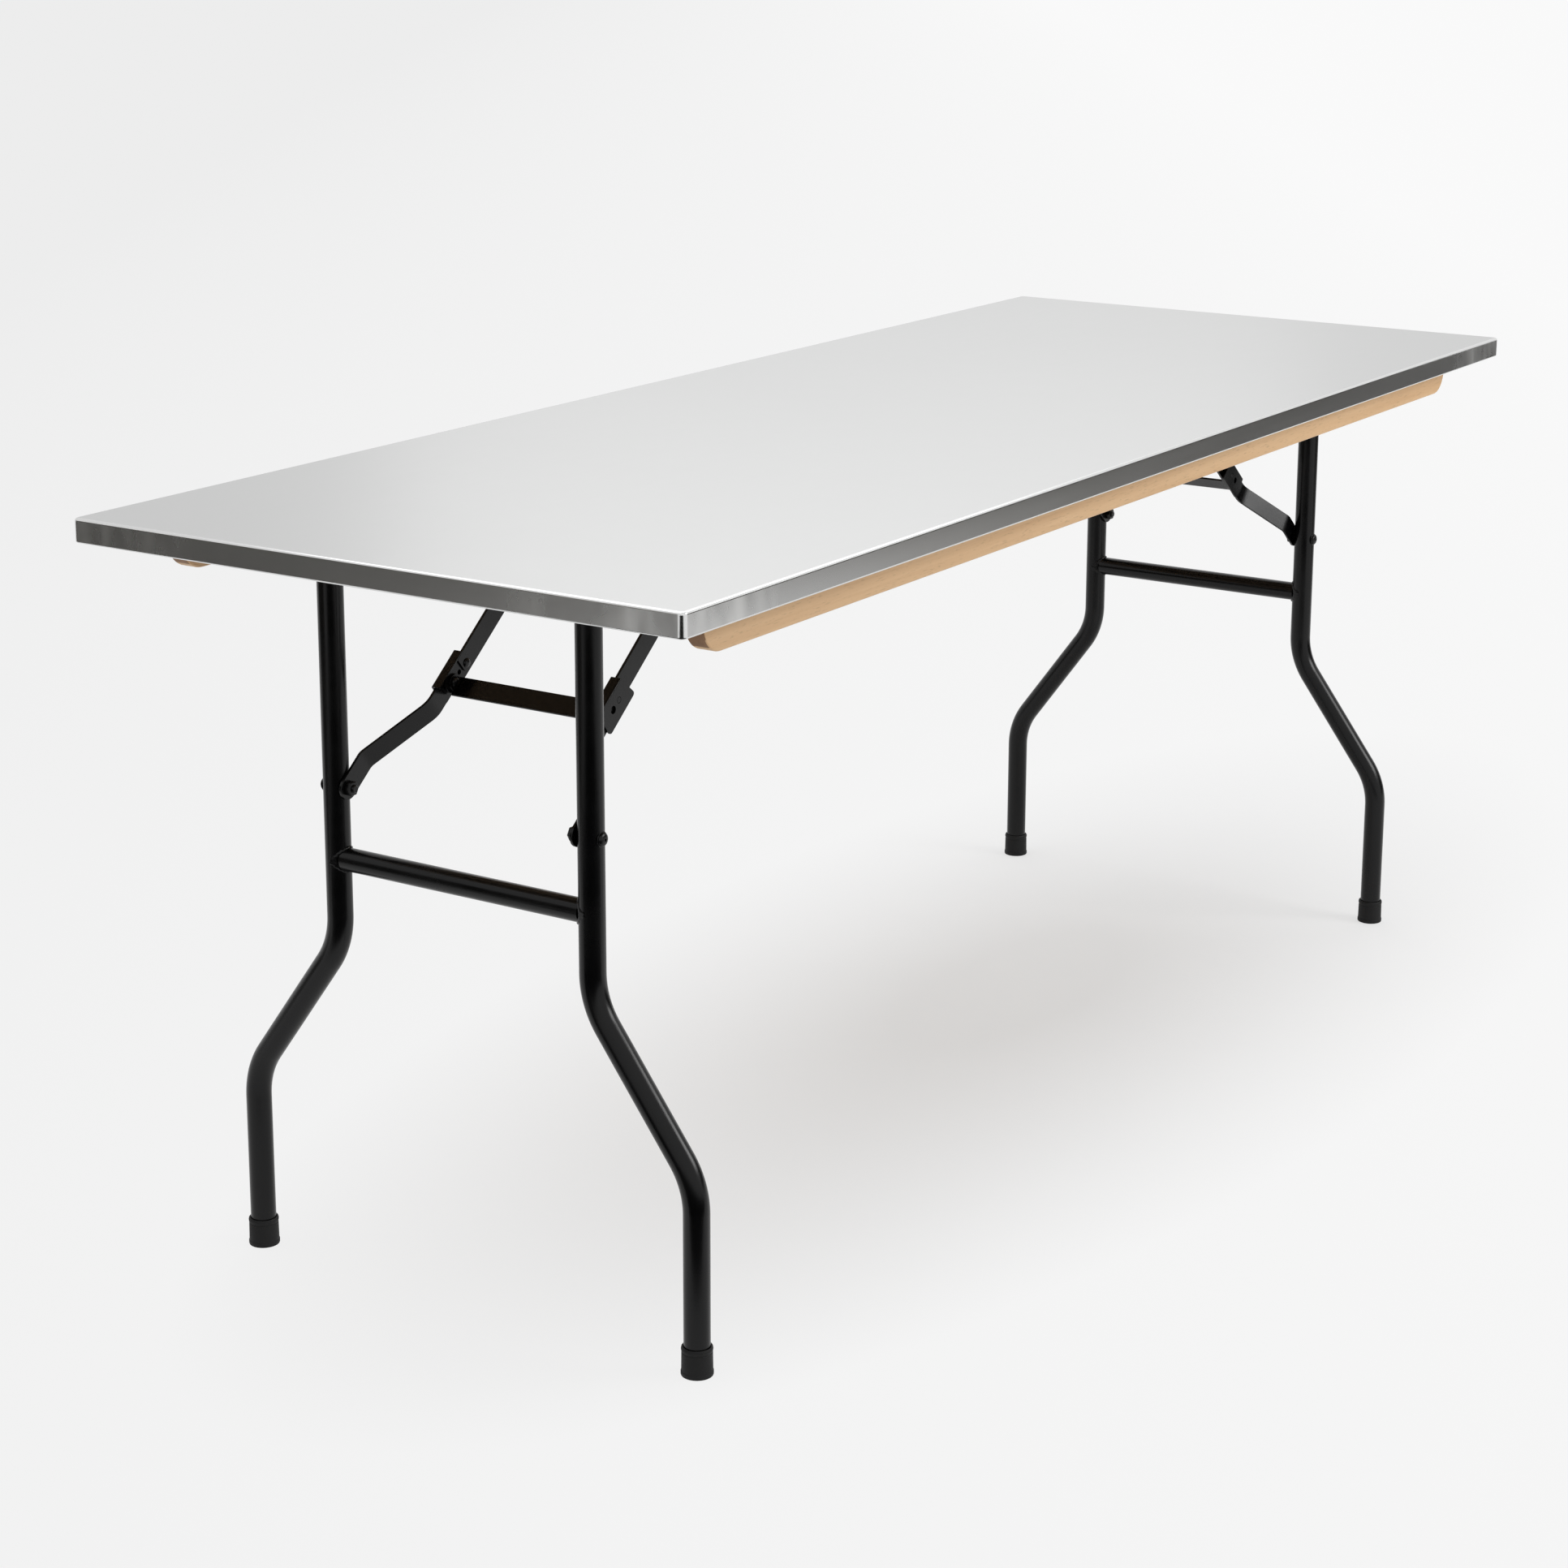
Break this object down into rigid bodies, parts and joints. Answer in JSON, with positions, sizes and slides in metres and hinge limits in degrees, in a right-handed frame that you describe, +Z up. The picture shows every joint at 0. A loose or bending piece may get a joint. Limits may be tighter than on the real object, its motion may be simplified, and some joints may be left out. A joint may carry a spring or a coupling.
{
  "type": "folding table",
  "caption": "Folding table with a stainless steel top, wooden side rails and two black tubular wishbone leg sets on over-centre folding braces",
  "frame": {"origin": "on the floor under the centre of the top, at the bottom centre of the bounding box", "axes": "+X along the table from the near leg set to the far one, +Y across it to the back, +Z up"},
  "size_m": [1.83, 0.696, 0.762],
  "materials": {
    "stainless": "satin brushed stainless sheet",
    "board": "bare chipboard",
    "beech": "planed beech under thin lacquer",
    "black_steel": "satin black powder coat",
    "black_fastener": "black oxide",
    "zinc": "bright zinc plate",
    "rubber": "matte black rubber"
  },
  "bodies": {
    "tabletop": {"top_skin": "stainless", "core_board": "board", "rail_front": "beech", "rail_back": "beech", "rail_screws": "zinc", "hinge_bracket_near_front": "black_steel", "hinge_bracket_near_back": "black_steel", "hinge_bracket_far_front": "black_steel", "hinge_bracket_far_back": "black_steel", "hinge_bracket_screws": "zinc", "brace_bracket_near_front": "black_steel", "brace_bracket_near_back": "black_steel", "brace_bracket_far_front": "black_steel", "brace_bracket_far_back": "black_steel", "brace_bracket_screws": "zinc", "brace_pins_near": "zinc", "brace_pins_far": "zinc"},
    "near_leg_frame": {"leg_near_front": "black_steel", "leg_near_back": "black_steel", "pivot_tube_near": "black_steel", "cross_tube_near": "black_steel", "foot_near_front": "rubber", "foot_near_back": "rubber", "brace_bolts_near": "black_fastener"},
    "near_upper_brace": {"upper_link_near_front": "black_steel", "upper_link_near_back": "black_steel", "lock_channel_near_front": "black_steel", "lock_channel_near_back": "black_steel", "knee_bar_near": "black_steel", "knee_rivets_near": "black_fastener"},
    "near_lower_brace": {"lower_link_near_front": "black_steel", "lower_link_near_back": "black_steel", "brace_nuts_near": "black_fastener"},
    "far_leg_frame": {"leg_far_front": "black_steel", "leg_far_back": "black_steel", "pivot_tube_far": "black_steel", "cross_tube_far": "black_steel", "foot_far_front": "rubber", "foot_far_back": "rubber", "brace_bolts_far": "black_fastener"},
    "far_upper_brace": {"upper_link_far_front": "black_steel", "upper_link_far_back": "black_steel", "lock_channel_far_front": "black_steel", "lock_channel_far_back": "black_steel", "knee_bar_far": "black_steel", "knee_rivets_far": "black_fastener"},
    "far_lower_brace": {"lower_link_far_front": "black_steel", "lower_link_far_back": "black_steel", "brace_nuts_far": "black_fastener"}
  },
  "joints": [
    {"name": "near_leg_hinge", "type": "hinge", "parent": "tabletop", "child": "near_leg_frame", "pos_m": [-0.78, 0, 0.721], "axis": [0, -1, 0], "range_deg": [0, 90]},
    {"name": "near_brace_hinge", "type": "hinge", "parent": "tabletop", "child": "near_upper_brace", "pos_m": [-0.5125, 0, 0.721], "axis": [0, 1, 0], "range_deg": [0, 39.56]},
    {"name": "near_knee", "type": "hinge", "parent": "near_upper_brace", "child": "near_lower_brace", "pos_m": [-0.66417, 0, 0.59569], "axis": [0, -1, 0], "range_deg": [0, 180]},
    {"name": "far_leg_hinge", "type": "hinge", "parent": "tabletop", "child": "far_leg_frame", "pos_m": [0.78, 0, 0.721], "axis": [0, 1, 0], "range_deg": [0, 90]},
    {"name": "far_brace_hinge", "type": "hinge", "parent": "tabletop", "child": "far_upper_brace", "pos_m": [0.5125, 0, 0.721], "axis": [0, -1, 0], "range_deg": [0, 39.56]},
    {"name": "far_knee", "type": "hinge", "parent": "far_upper_brace", "child": "far_lower_brace", "pos_m": [0.66417, 0, 0.59569], "axis": [0, 1, 0], "range_deg": [0, 180]}
  ],
  "couplings": [
    {"joint": "near_brace_hinge", "follows": "near_leg_hinge", "ratio": 0.43958},
    {"joint": "near_knee", "follows": "near_leg_hinge", "ratio": 2},
    {"joint": "far_brace_hinge", "follows": "far_leg_hinge", "ratio": 0.43958},
    {"joint": "far_knee", "follows": "far_leg_hinge", "ratio": 2}
  ]
}
